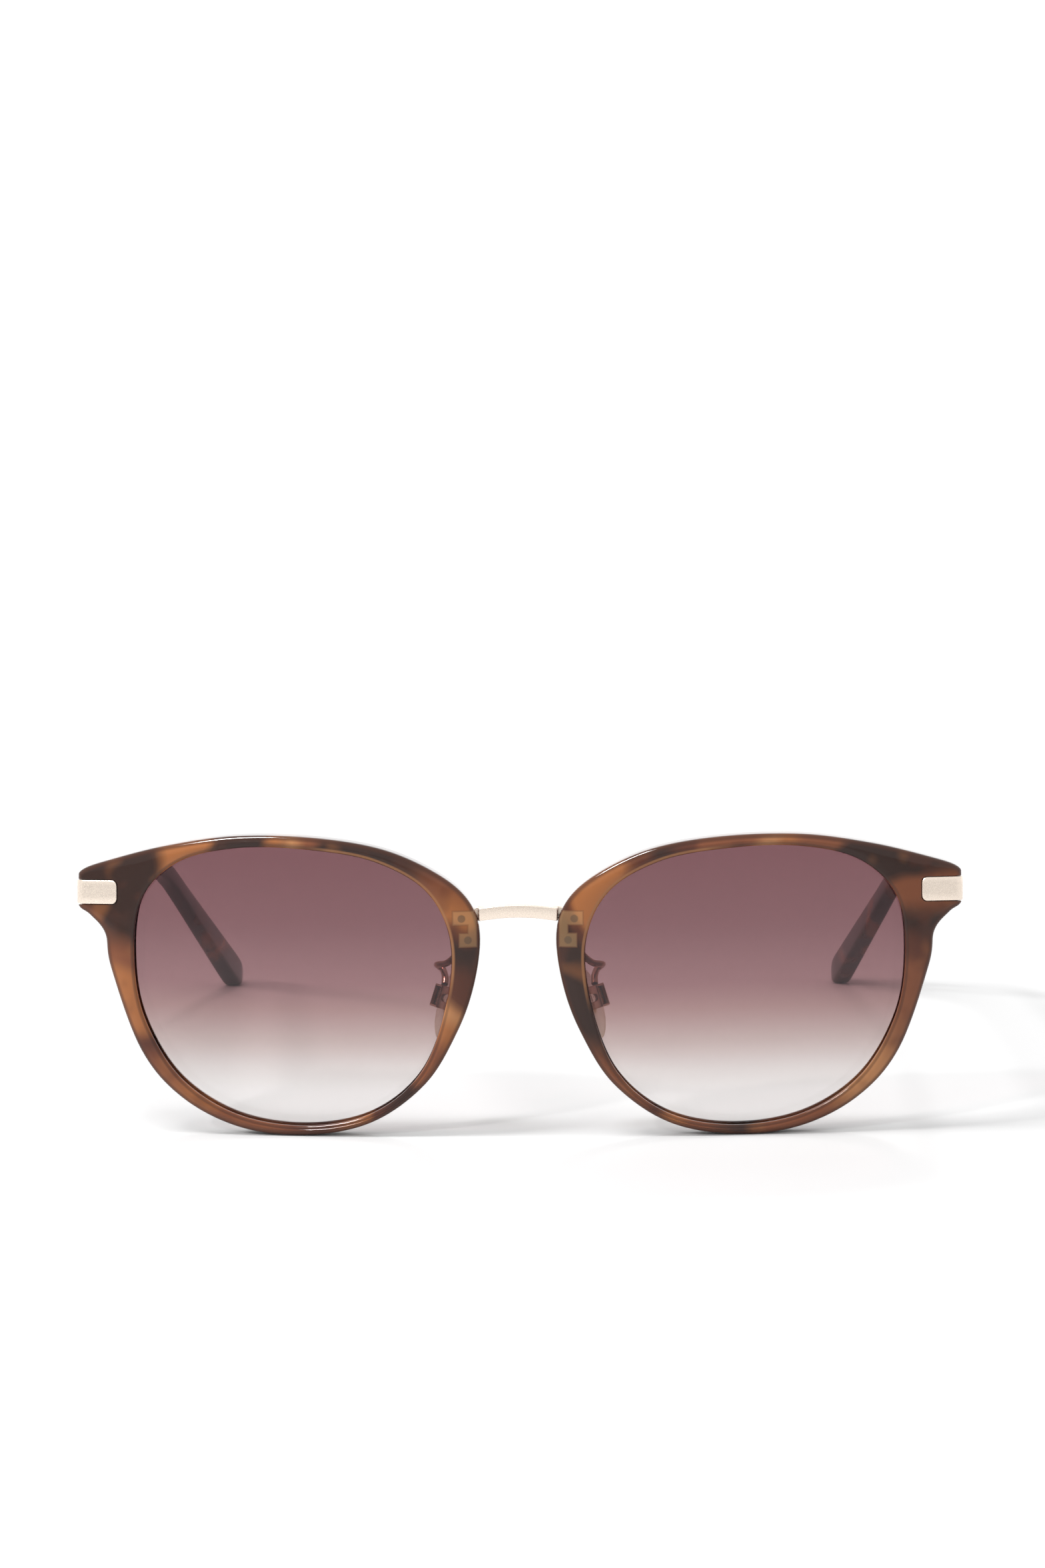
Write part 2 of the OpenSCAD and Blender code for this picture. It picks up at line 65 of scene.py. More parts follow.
# The outlines repeat the CAD source's. Most of the points were printed by a program that corrected
# chosen ones for perspective, and were pasted in.
LENS_POINTS = [
    (25.9, 3.0), (24.6, 12.7), (18.4, 18.9), (8.3, 21.3), (-3.2, 21.0),
    (-13.1, 19.1), (-21.1, 14.3), (-24.7, 6.3), (-23.8, -4.2), (-19.8, -14.6),
    (-12.0, -21.2), (-1.4, -23.4), (9.8, -21.7), (18.8, -15.9), (24.3, -6.6),
]
RIM_POINTS = [
    (29.8, 1.5), (30.7, 7.0), (33.1, 9.8), (34.8, 10.9), (35.3, 12.2),
    (35.3, 15.2), (34.4, 17.0), (30.0, 18.7), (20.7, 21.3), (9.5, 23.1),
    (-3.0, 23.0), (-14.0, 21.2), (-22.5, 17.4), (-27.6, 13.0), (-29.4, 7.5),
    (-28.4, -0.5), (-25.6, -8.2), (-20.5, -16.5), (-11.9, -22.8), (-1.3, -25.0),
    (9.4, -23.9), (18.6, -19.3), (25.1, -11.7),
]


# ---------------------------------------------------------------- curves and frames
def closed_spline(points, n):
    """Catmull-Rom through the points, n steps between each two."""
    p = np.array(points, float)
    a, b, c, d = np.roll(p, 1, 0), p, np.roll(p, -1, 0), np.roll(p, -2, 0)
    steps = []
    for t in np.arange(n) / n:
        steps.append(0.5 * (2 * b + (c - a) * t + (2 * a - 5 * b + 4 * c - d) * t * t
                            + (3 * b - a - 3 * c + d) * t ** 3))
    return np.stack(steps, 1).reshape(-1, p.shape[1])


def open_spline(points, n):
    p = np.array(points, float)
    out = []
    for i in range(len(p) - 1):
        a, b, c, d = p[max(i - 1, 0)], p[i], p[i + 1], p[min(i + 2, len(p) - 1)]
        for k in range(n):
            t = k / n
            out.append(0.5 * (2 * b + (c - a) * t + (2 * a - 5 * b + 4 * c - d) * t * t
                              + (3 * b - a - 3 * c + d) * t ** 3))
    out.append(p[-1])
    return np.array(out)


def outward(p):
    """Unit normals of a closed counter-clockwise outline."""
    t = np.roll(p, -1, 0) - np.roll(p, 1, 0)
    n = np.stack([t[:, 1], -t[:, 0]], 1)
    return n / np.linalg.norm(n, axis=1)[:, None]


def smooth(x, a, b):
    t = min(1.0, max(0.0, (x - a) / (b - a)))
    return t * t * (3 - 2 * t)


def front_y(x, z, depth):
    """Y of the layer at that depth under the front's sphere; x and z are the design's."""
    r = FRONT_R - depth
    return FRONT_R - math.sqrt(r * r - (x - SPHERE_X) ** 2 - (z - LENS_Z) ** 2)


def from_hinge(x, y, z):
    c, s = math.cos(PANTO), math.sin(PANTO)
    return (HINGE_X + x, HINGE_Y + y * c + z * s, HINGE_Z - y * s + z * c)


def mitre_at(z):
    """Y of the end piece's back plane at height z."""
    return HINGE_Y + (MITRE_Y + (z - HINGE_Z) * math.sin(PANTO)) / math.cos(PANTO)


# ---------------------------------------------------------------- mesh pieces
def add_piece(name, verts, faces, body, material, stands_for=(), side=1, sharp=35, attrs=None):
    """A closed mesh from design points in mm; side -1 mirrors it for the wearer's right."""
    me = bpy.data.meshes.new(name)
    me.from_pydata([(side * v[0] / 1000, (v[1] - Y_MID) / 1000, v[2] / 1000) for v in verts], [], faces)
    for key, values in (attrs or {}).items():
        me.attributes.new(key, "FLOAT", "POINT").data.foreach_set("value", np.array(values, np.float32))
    bm = bmesh.new()
    bm.from_mesh(me)
    bmesh.ops.recalc_face_normals(bm, faces=bm.faces)
    bm.to_mesh(me)
    bm.free()
    me.polygons.foreach_set("use_smooth", [True] * len(me.polygons))
    me.set_sharp_from_angle(angle=math.radians(sharp))
    me.materials.append(material)
    ob = bpy.data.objects.new(name, me)
    bpy.context.scene.collection.objects.link(ob)
    if body:
        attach(ob, body)
    if stands_for:
        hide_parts(*stands_for)
    return ob


def loft(rings, closed_way=False, capped=True):
    """Quads between rings of equal length; the last ring joins the first, or both ends are capped."""
    n = len(rings[0])
    verts = [tuple(p) for ring in rings for p in ring]
    faces = []
    count = len(rings)
    for i in range(count if closed_way else count - 1):
        j = (i + 1) % count
        for k in range(n):
            m = (k + 1) % n
            faces.append((i * n + k, i * n + m, j * n + m, j * n + k))
    if capped and not closed_way:
        faces.append(tuple(range(n)))
        faces.append(tuple((count - 1) * n + k for k in range(n)))
    return verts, faces


def rounded_section(w, h, r, n=4):
    """A rounded rectangle of width w and height h as (u, v) pairs."""
    out = []
    for cu, cv, a0 in ((1, 1, 0), (-1, 1, 90), (-1, -1, 180), (1, -1, 270)):
        for k in range(n + 1):
            a = math.radians(a0 + 90 * k / n)
            out.append((cu * (w / 2 - r) + r * math.cos(a), cv * (h / 2 - r) + r * math.sin(a)))
    return out


def bevel(ob, width, segments=2):
    m = ob.modifiers.new("edges", "BEVEL")
    m.width = width / 1000
    m.segments = segments
    m.limit_method = "ANGLE"
    m.angle_limit = math.radians(40)
    m.harden_normals = False


# ---------------------------------------------------------------- node helpers
class Tree:
    """A short way to write node trees."""

    def __init__(self, name):
        self.mat = bpy.data.materials.new(name)
        self.mat.use_nodes = True
        self.nt = self.mat.node_tree
        self.nt.nodes.clear()
        self.out = self.nt.nodes.new("ShaderNodeOutputMaterial")

    def put(self, socket, value):
        if isinstance(value, bpy.types.NodeSocket):
            self.nt.links.new(value, socket)
        elif value is not None:
            socket.default_value = value

    def node(self, kind, **inputs):
        nd = self.nt.nodes.new(kind)
        for key, value in inputs.items():
            self.put(nd.inputs[key.replace("_", " ")], value)
        return nd

    def math(self, op, a, b=None, c=None, clamp=False):
        nd = self.nt.nodes.new("ShaderNodeMath")
        nd.operation = op
        nd.use_clamp = clamp
        for i, v in enumerate((a, b, c)):
            self.put(nd.inputs[i], v)
        return nd.outputs[0]

    def ramp(self, fac, stops, interpolation="LINEAR"):
        nd = self.nt.nodes.new("ShaderNodeValToRGB")
        cr = nd.color_ramp
        cr.interpolation = interpolation
        while len(cr.elements) < len(stops):
            cr.elements.new(0.5)
        for e, (pos, colour) in zip(cr.elements, stops):
            e.position = pos
        for e, (pos, colour) in zip(cr.elements, stops):
            e.position = pos
            e.color = (*colour, 1)
        self.put(nd.inputs[0], fac)
        return nd.outputs[0]

    def span(self, value, a, b, c=0.0, d=1.0, kind="SMOOTHSTEP"):
        nd = self.nt.nodes.new("ShaderNodeMapRange")
        nd.interpolation_type = kind
        self.put(nd.inputs[0], value)
        for i, v in enumerate((a, b, c, d)):
            self.put(nd.inputs[i + 1], v)
        return nd.outputs[0]

    def noise(self, vector, scale, detail=3.0, rough=0.5, distortion=0.0):
        nd = self.node("ShaderNodeTexNoise", Scale=scale, Detail=detail, Roughness=rough,
                       Distortion=distortion)
        self.put(nd.inputs["Vector"], vector)
        return nd.outputs["Fac"]

    def mix(self, fac, a, b, kind="MIX"):
        nd = self.nt.nodes.new("ShaderNodeMix")
        nd.data_type = "RGBA"
        nd.blend_type = kind
        self.put(nd.inputs[0], fac)
        self.put(nd.inputs[6], a if isinstance(a, bpy.types.NodeSocket) else (*a, 1))
        self.put(nd.inputs[7], b if isinstance(b, bpy.types.NodeSocket) else (*b, 1))
        return nd.outputs[2]

    def bump(self, height, strength, distance):
        return self.node("ShaderNodeBump", Height=height, Strength=strength, Distance=distance).outputs[0]

    def shifted(self, vector, by):
        nd = self.nt.nodes.new("ShaderNodeVectorMath")
        self.put(nd.inputs[0], vector)
        nd.inputs[1].default_value = (by, by, by)
        return nd.outputs[0]

    def place(self):
        """Object coordinates in mm: (vector, x, y, z)."""
        co = self.nt.nodes.new("ShaderNodeTexCoord").outputs["Object"]
        nd = self.nt.nodes.new("ShaderNodeVectorMath")
        nd.operation = "SCALE"
        self.put(nd.inputs[0], co)
        nd.inputs["Scale"].default_value = 1000
        sep = self.nt.nodes.new("ShaderNodeSeparateXYZ")
        self.put(sep.inputs[0], nd.outputs[0])
        return nd.outputs[0], sep.outputs[0], sep.outputs[1], sep.outputs[2]

    def principled(self, **inputs):
        return self.node("ShaderNodeBsdfPrincipled", **inputs).outputs[0]

    def mix_shader(self, fac, a, b):
        nd = self.nt.nodes.new("ShaderNodeMixShader")
        for i, v in enumerate((fac, a, b)):
            self.put(nd.inputs[i], v)
        return nd.outputs[0]

    def done(self, shader):
        self.put(self.out.inputs["Surface"], shader)
        return self.mat


# Tones of the acetate, as light that the surface sends back
LIGHT, AMBER, BROWN, DEEP, BLACK = (
    (0.35, 0.155, 0.062), (0.275, 0.098, 0.032), (0.155, 0.050, 0.022),
    (0.075, 0.022, 0.012), (0.026, 0.012, 0.009)
)


def tortoise(name, side, patches):
    """Polished tortoise acetate.

    patches lists (angle round the lens, tone), where 0 is the temple side and 90 the top.
    """
    t = Tree(name)
    vec, x, _, z = t.place()
    dx = t.math("SUBTRACT", t.math("MULTIPLY", x, side), LENS_X)
    dz = t.math("SUBTRACT", z, LENS_Z)
    turn = t.math("ADD", t.math("DIVIDE", t.math("ARCTAN2", dz, dx), 2 * math.pi), 1)
    cloud = t.noise(vec, 0.11, 1.0, 0.4)
    turn = t.math("ADD", turn, t.math("MULTIPLY", t.math("SUBTRACT", cloud, 0.5), 0.05))
    # slanted edges to the patches, as sheet acetate has
    inner = t.node("ShaderNodeAttribute")
    inner.attribute_name = "from_lens"
    from_lens = inner.outputs["Fac"]
    turn = t.math("ADD", turn, t.math("MULTIPLY", t.math("SUBTRACT", from_lens, 2.0), 0.003 * side))
    turn = t.math("FRACT", turn)
    stops = [(a / 360, tone) for a, tone in patches]
    tone = t.ramp(turn, stops, "EASE")
    tone = t.mix(t.span(t.noise(vec, 0.22, 1.5, 0.45), 0.50, 0.75, 0.0, 0.45), tone, DEEP)
    tone = t.mix(t.span(t.noise(t.shifted(vec, 40), 0.17, 1.0, 0.4), 0.56, 0.78, 0.0, 0.4), tone, AMBER)
    outer = t.node("ShaderNodeAttribute")
    outer.attribute_name = "from_outside"
    # painted shade: the inner lip and the rounded outer edge are darkened against the flat face
    lip = t.math("MULTIPLY", t.span(from_lens, 0.06, 0.2), t.span(from_lens, 0.7, 0.4))
    tone = t.mix(t.math("MULTIPLY", lip, 0.45), tone, BLACK)
    # painted light: a paler band on the lip from the top towards the nose side, for the light that comes
    # through the acetate at the lens edge
    painted_light_arc = t.math("MULTIPLY", t.span(turn, 0.25, 0.29), t.span(turn, 0.54, 0.49))
    tone = t.mix(t.math("MULTIPLY", t.math("MULTIPLY", lip, painted_light_arc), 0.55), tone, LIGHT)
    # painted shade on the rounded outer edge, darkest at the outside
    edge_shade = t.span(outer.outputs["Fac"], 0.9, 0.3, 0.0, 0.72)
    tone = t.mix(edge_shade, tone, (0.045, 0.015, 0.008))
    # the bridge plate and its rivets, let into the back, show through the front
    tone = plate_seen_through(t, tone, x, z, side)
    rough = t.span(t.noise(vec, 2.5, 3.0), 0.3, 0.7, 0.018, 0.045)
    wave = t.noise(vec, 0.35, 2.0)
    bump = t.bump(wave, 0.05, 0.0006)
    wall = t.span(outer.outputs["Fac"], 0.12, 0.02)
    return t.done(t.principled(Base_Color=tone, Roughness=rough, IOR=1.45, Specular_IOR_Level=0.38,
                               Normal=bump, Coat_Weight=wall, Coat_Roughness=0.05, Coat_IOR=1.6))


def plate_seen_through(t, tone, x, z, side):
    px = t.math("MULTIPLY", x, side)
    pz = t.math("SUBTRACT", z, LENS_Z)

    def box(x0, x1, z0, z1):
        a = t.math("SUBTRACT", t.math("ABSOLUTE", t.math("SUBTRACT", px, (x0 + x1) / 2)), (x1 - x0) / 2)
        b = t.math("SUBTRACT", t.math("ABSOLUTE", t.math("SUBTRACT", pz, (z0 + z1) / 2)), (z1 - z0) / 2)
        return t.math("MAXIMUM", a, b)

    def disc(cx, cz, r):
        a = t.math("POWER", t.math("SUBTRACT", px, cx), 2)
        b = t.math("POWER", t.math("SUBTRACT", pz, cz), 2)
        return t.math("SUBTRACT", t.math("SQRT", t.math("ADD", a, b)), r)

    whole = box(6.5, 7.9, 5.7, 11.4)
    for b in ((6.5, 10.3, 9.2, 11.4), (6.5, 9.3, 5.7, 7.9)):
        whole = t.math("MINIMUM", whole, box(*b))
    normal = t.nt.nodes.new("ShaderNodeNewGeometry").outputs["Normal"]
    sep = t.nt.nodes.new("ShaderNodeSeparateXYZ")
    t.put(sep.inputs[0], normal)
    ahead = t.span(sep.outputs[1], -0.5, -0.8)
    plate = t.math("MULTIPLY", t.span(whole, 0.14, -0.08), ahead)
    edge = t.math("MULTIPLY", t.span(t.math("ABSOLUTE", whole), 0.22, 0.04), ahead)
    tone = t.mix(t.math("MULTIPLY", plate, 0.26), tone, (0.50, 0.30, 0.14))
    tone = t.mix(t.math("MULTIPLY", edge, 0.35), tone, DEEP)
    for cx, cz in ((8.9, 10.2), (7.9, 6.8)):
        d = disc(cx, cz, 0.6)
        rivet_mark = t.math("MULTIPLY", t.math("MULTIPLY", t.span(d, 0.12, -0.1), ahead), 0.6)
        tone = t.mix(rivet_mark, tone, (0.065, 0.045, 0.03))
    return tone


def metal(name, colour, rough, grain=3.0, tint=0.06):
    """Plated metal with faint unevenness."""
    t = Tree(name)
    vec = t.place()[0]
    n = t.noise(vec, grain, 4.0, 0.6)
    col = t.mix(t.span(n, 0.3, 0.7, 0.0, 1.0), colour, tuple(c * (1 - tint) for c in colour))
    r = t.span(t.noise(vec, grain * 2.3, 3.0), 0.3, 0.7, rough * 0.8, rough * 1.25)
    return t.done(t.principled(Base_Color=col, Metallic=1.0, Roughness=r, Normal=t.bump(n, 0.05, 0.00004)))


def gradient_lens():
    """Tinted lens, dark above and nearly clear below, with a polished surface on each side."""
    t = Tree("gradient_lens")
    vec, _, _, z = t.place()
    cloud = t.math("MULTIPLY", t.math("SUBTRACT", t.noise(vec, 0.04, 2.0), 0.5), 1.2)
    height = t.math("DIVIDE", t.math("ADD", z, cloud), 50)
    # light let through by one of the two surfaces
    tint = t.ramp(height, [
        (0.04, (0.93, 0.925, 0.92)), (0.14, (0.90, 0.885, 0.88)), (0.22, (0.825, 0.79, 0.78)),
        (0.31, (0.705, 0.625, 0.612)), (0.41, (0.60, 0.475, 0.47)), (0.49, (0.53, 0.39, 0.40)),
        (0.66, (0.472, 0.33, 0.345)), (0.9, (0.437, 0.288, 0.305)),
    ])
    facing = t.node("ShaderNodeLayerWeight", Blend=0.5).outputs["Facing"]
    shine = t.math("ADD", t.math("MULTIPLY", t.math("POWER", facing, 5), 0.9), 0.035)
    clear = t.node("ShaderNodeBsdfTransparent", Color=tint).outputs[0]
    rough = t.span(t.noise(vec, 1.5, 3.0), 0.3, 0.7, 0.02, 0.05)
    bump = t.bump(t.noise(vec, 0.08, 1.0), 0.05, 0.0004)
    gloss = t.node("ShaderNodeBsdfGlossy", Color=(0.95, 0.93, 0.95, 1), Roughness=rough,
                   Normal=bump).outputs[0]
    return t.done(t.mix_shader(shine, clear, gloss))


def clear_pad():
    """Soft clear silicone: mostly see-through, milky, with a soft shine that grows at its edge."""
    t = Tree("clear_pad")
    vec = t.place()[0]
    facing = t.node("ShaderNodeLayerWeight", Blend=0.35).outputs["Facing"]
    n = t.noise(vec, 1.2, 3.0)
    tint = t.mix(facing, (0.93, 0.92, 0.90), (0.80, 0.68, 0.52))
    clear = t.node("ShaderNodeBsdfTransparent", Color=tint).outputs[0]
    body = t.principled(Base_Color=(0.86, 0.80, 0.74, 1), Roughness=t.span(n, 0.3, 0.7, 0.22, 0.34),
                        IOR=1.41, Normal=t.bump(n, 0.08, 0.0002))
    return t.done(t.mix_shader(t.span(facing, 0.0, 1.0, 0.12, 0.6, "LINEAR"), clear, body))


def temple_acetate():
    """Dark tortoise acetate, mostly black-brown with a few amber clouds."""
    t = Tree("temple_acetate")
    vec = t.place()[0]
    stretched = t.node("ShaderNodeMapping")
    t.put(stretched.inputs["Vector"], vec)
    stretched.inputs["Scale"].default_value = (1, 0.55, 1)
    cloud = t.noise(stretched.outputs[0], 0.13, 2.0, 0.5, 0.9)
    tone = t.ramp(cloud, [
        (0.30, (0.020, 0.010, 0.008)), (0.50, (0.030, 0.014, 0.010)), (0.57, (0.085, 0.030, 0.014)),
        (0.64, (0.17, 0.062, 0.022)), (0.72, (0.27, 0.105, 0.036)),
    ], "EASE")
    tone = t.mix(t.span(t.noise(vec, 0.5, 4.0, 0.6), 0.45, 0.65, 0.0, 0.6), tone, (0.018, 0.010, 0.008))
    rough = t.span(t.noise(vec, 2.5, 3.0), 0.3, 0.7, 0.12, 0.2)
    return t.done(t.principled(Base_Color=tone, Roughness=rough, IOR=1.49,
                               Normal=t.bump(t.noise(vec, 0.4, 2.0), 0.12, 0.0005), Coat_Weight=0.2,
                               Coat_Roughness=0.05, Coat_IOR=1.49))


RIGHT_PATCHES = [  # the rim at -X
    (0, AMBER), (6, BROWN), (14, BLACK), (37, BLACK), (43, AMBER), (56, AMBER), (60, BLACK), (77, BLACK),
    (83, AMBER), (88, LIGHT), (93, BROWN), (100, BLACK), (130, BLACK), (144, BROWN),
    (156, AMBER), (160, DEEP), (165, BLACK), (185, DEEP), (191, LIGHT), (199, AMBER), (210, BROWN),
    (218, BROWN), (224, BLACK), (240, DEEP), (249, AMBER), (264, DEEP), (284, BROWN), (298, BROWN),
    (311, AMBER), (329, BROWN), (339, DEEP), (346, AMBER),
]
LEFT_PATCHES = [  # the rim at +X
    (0, BROWN), (7, DEEP), (17, BLACK), (26, BROWN), (33, BROWN), (38, BLACK), (50, BLACK), (56, BROWN),
    (66, BROWN), (73, AMBER), (81, LIGHT), (88, BROWN), (104, BROWN), (109, DEEP), (125, BLACK), (131, DEEP),
    (136, AMBER), (159, AMBER), (163, DEEP), (168, BLACK), (187, BLACK), (200, BLACK), (214, BROWN),
    (226, BROWN), (232, DEEP), (238, AMBER), (245, BROWN), (269, BLACK), (276, BROWN), (296, BROWN),
    (318, LIGHT), (354, BROWN),
]
M_RIM = {1: tortoise("tortoise_left", 1, LEFT_PATCHES), -1: tortoise("tortoise_right", -1, RIGHT_PATCHES)}
M_TEMPLE = temple_acetate()
M_LENS = gradient_lens()
M_GOLD = metal("champagne_metal", (0.91, 0.79, 0.68), 0.3)
M_ARM = metal("rose_metal", (0.46, 0.27, 0.20), 0.2)
M_STEEL = metal("hinge_steel", (0.62, 0.60, 0.57), 0.28)
M_INSERT = metal("pad_gold", (0.80, 0.55, 0.28), 0.25)
M_PAD = clear_pad()


# ---------------------------------------------------------------- rims
lens_dense = closed_spline(LENS_POINTS, 40)
lens_angle = np.degrees(np.arctan2(lens_dense[:, 1], lens_dense[:, 0])) % 360
order = np.argsort(lens_angle)


def lens_edge(angles):
    """Points of the lens outline at these polar angles, and its outward normals there."""
    a = np.asarray(angles, float)

    def at(q):
        r = np.interp(q % 360, lens_angle[order], np.linalg.norm(lens_dense, axis=1)[order], period=360)
        return np.stack([r * np.cos(np.radians(q)), r * np.sin(np.radians(q))], 1)

    t = at(a + 1.5) - at(a - 1.5)
    n = np.stack([t[:, 1], -t[:, 0]], 1)
    return at(a), n / np.linalg.norm(n, axis=1)[:, None]


def lug(x, z):
    """1 where the end piece is thickened back to the hinge, falling to 0 around it."""
    up = z - HINGE_Z - 0.4
    return smooth(x - HINGE_X, -5.0, -3.6) * smooth(up, -4.5, -3.3) * smooth(up, 4.7, 3.5)


def back_y(x, z):
    k = lug(x, z)
    y = front_y(x, z, RIM_T)
    return y + (max(mitre_at(z), y) - y) * k


def round_corner(x, y, z):
    """Keeps a point inside the end piece's rounded outer corner."""
    cx = HINGE_X + END_SIDE - CORNER_R
    if x <= cx:
        return x, y
    cy = front_y(cx, z, CORNER_R)
    if y < cy:
        d = math.hypot(x - cx, y - cy)
        if d > CORNER_R:
            return cx + (x - cx) * CORNER_R / d, cy + (y - cy) * CORNER_R / d
        return x, y
    return min(x, HINGE_X + END_SIDE), y


def build_rim(side, name):
    outline = closed_spline(RIM_POINTS, 10)
    out_n = outward(outline)
    angle = np.degrees(np.arctan2(outline[:, 1], outline[:, 0])) % 360
    inside, in_n = lens_edge(angle)
    ri, ro, rb, dome = 0.55, 0.7, 0.4, 0.13
    rings, from_lens, from_outside = [], [], []
    for o, no, i, ni in zip(outline, out_n, inside, in_n):
        a, b = i + ni * ri, o - no * ro
        width = np.linalg.norm(b - a)
        ring = []

        def put(p, lens_d, out_d, depth=None, behind=None):
            x, z = LENS_X + p[0], LENS_Z + p[1]
            y = front_y(x, z, depth) if depth is not None else back_y(x, z) - behind
            x, y = round_corner(x, y, z)
            ring.append((x, y, z))
            from_lens.append(lens_d)
            from_outside.append(out_d)

        put(i + ni * 0.7, 0.0, width + ro + ri, depth=LENS_INSET - 0.1)
        put(i, 0.0, width + ro + ri, depth=LENS_INSET - 0.1)
        for k in range(7):
            q = math.radians(15 * k)
            off = ri - ri * math.cos(q)
            put(i + ni * off, off, width + ro + ri - off, depth=dome + ri - ri * math.sin(q))
        for k in range(1, 9):
            f = k / 9
            put(a + (b - a) * f, ri + width * f, ro + width * (1 - f), depth=dome * (2 * f - 1) ** 2)
        for k in range(8):
            q = math.radians(90 * k / 7)
            off = ro - ro * math.sin(q)
            put(o - no * off, width + ri + ro - off, off, depth=dome + ro - ro * math.cos(q))
        # outer wall, from the front round-over to the back one
        x, z = LENS_X + o[0], LENS_Z + o[1]
        y0, y1 = front_y(x, z, dome + ro), back_y(x, z) - rb
        for f in (0.33, 0.67):
            put(o, width + ri + ro, 0.0, behind=back_y(x, z) - (y0 + (y1 - y0) * f))
        soft = rb - 0.3 * lug(x, z)
        for k in range(5):
            q = math.radians(90 * k / 4)
            off = soft - soft * math.cos(q)
            put(o - no * off, width + ri + ro - off, off, behind=soft - soft * math.sin(q))
        ob, ib = o - no * soft, i + ni * rb
        for k in range(1, 16):
            f = k / 16
            put(ob + (ib - ob) * f, (width + ri + ro) * (1 - f), (width + ri + ro) * f, behind=0.0)
        for k in range(5):
            q = math.radians(90 * k / 4)
            off = rb - rb * math.sin(q)
            put(i + ni * off, off, width + ri + ro - off, depth=RIM_T - rb + rb * math.cos(q))
        put(i, 0.0, width + ri + ro, depth=LENS_INSET + LENS_T + 0.1)
        put(i + ni * 0.7, 0.0, width + ri + ro, depth=LENS_INSET + LENS_T + 0.1)
        rings.append(ring)
    verts, faces = loft(rings, closed_way=True)
    attrs = {"from_lens": np.clip(from_lens, 0, 12), "from_outside": np.clip(from_outside, 0, 12)}
    whole = {1: "left", -1: "right"}[side]
    ob = add_piece(name, verts, faces, "front", M_RIM[side], (whole + "_rim",), side, 50, attrs)
    cut_pocket(ob, side, attrs)
    return ob


def wrap_line(x0, y1, front_n=14, corner_n=12):
    """The end piece's plan line with outward normals, in the hinge frame: front arc, corner, side."""
    arc_c = (SPHERE_X - HINGE_X,
             (FRONT_R - HINGE_Y) * math.cos(PANTO) - (LENS_Z - HINGE_Z) * math.sin(PANTO))
    r, side, big = CORNER_R, END_SIDE, FRONT_R - CORNER_R
    c = (side - r, arc_c[1] - math.sqrt(big ** 2 - (side - r - arc_c[0]) ** 2))
    turn = math.atan2(c[1] - arc_c[1], c[0] - arc_c[0])
    first = -math.acos((x0 - arc_c[0]) / FRONT_R)
    out = []
    for k in range(front_n + 1):
        a = first + (turn - first) * k / front_n
        out.append(((arc_c[0] + FRONT_R * math.cos(a), arc_c[1] + FRONT_R * math.sin(a)),
                    (math.cos(a), math.sin(a))))
    for k in range(1, corner_n + 1):
        a = turn - turn * k / corner_n
        out.append(((c[0] + r * math.cos(a), c[1] + r * math.sin(a)), (math.cos(a), math.sin(a))))
    y0 = c[1]
    for k in range(1, 5):
        out.append(((side, y0 + (y1 - y0) * k / 4), (1, 0)))
    return out


def strip(x0, y1, d0, d1, h, round_r, edge):
    """A strip that follows the wrap line between offsets d0 and d1, with a rounded inner end."""
    line = wrap_line(x0, y1)
    # close stations at the rounded inner end
    (ax, ay), n0 = line[0]
    steps = [round_r * (1 - math.cos(math.radians(9 * k))) for k in range(0, 10)]
    (bx, by), _ = line[3]
    span = math.hypot(bx - ax, by - ay)
    stations = [((ax + (bx - ax) * s / span, ay + (by - ay) * s / span), n0, s) for s in steps]
    travelled = 0.0
    previous = line[0][0]
    for p, n in line[1:]:
        travelled += math.hypot(p[0] - previous[0], p[1] - previous[1])
        previous = p
        if travelled > steps[-1] + 0.15:
            stations.append((p, n, travelled))
    rings = []
    for p, n, s in stations:
        half = h / 2
        if s < round_r:
            half = h / 2 - round_r + math.sqrt(max(0.0, round_r ** 2 - (round_r - s) ** 2))
        ring = []
        e = min(edge, (d1 - d0) * 0.45)
        lift = 0.0 if s > edge else edge * (1 - math.sqrt(max(0.0, 1 - (1 - s / edge) ** 2)))
        top = d1 - lift
        for off, zz in (
            (d0, -half), (d0, -half / 3), (d0, half / 3), (d0, half),
            (top - e, half), (top - 0.55 * e, half - 0.12 * e),
            (top - 0.2 * e, half - 0.45 * e), (top, half - e),
            (top, half / 3), (top, -half / 3),
            (top, -half + e), (top - 0.2 * e, -half + 0.45 * e),
            (top - 0.55 * e, -half + 0.12 * e), (top - e, -half),
        ):
            ring.append(from_hinge(p[0] + n[0] * off, p[1] + n[1] * off, zz))
        rings.append(ring)
    return loft(rings)


CAP_H, CAP_IN, CAP_DEEP, CAP_PROUD, CAP_ROUND = 3.8, -1.7, 0.5, 0.2, 0.9


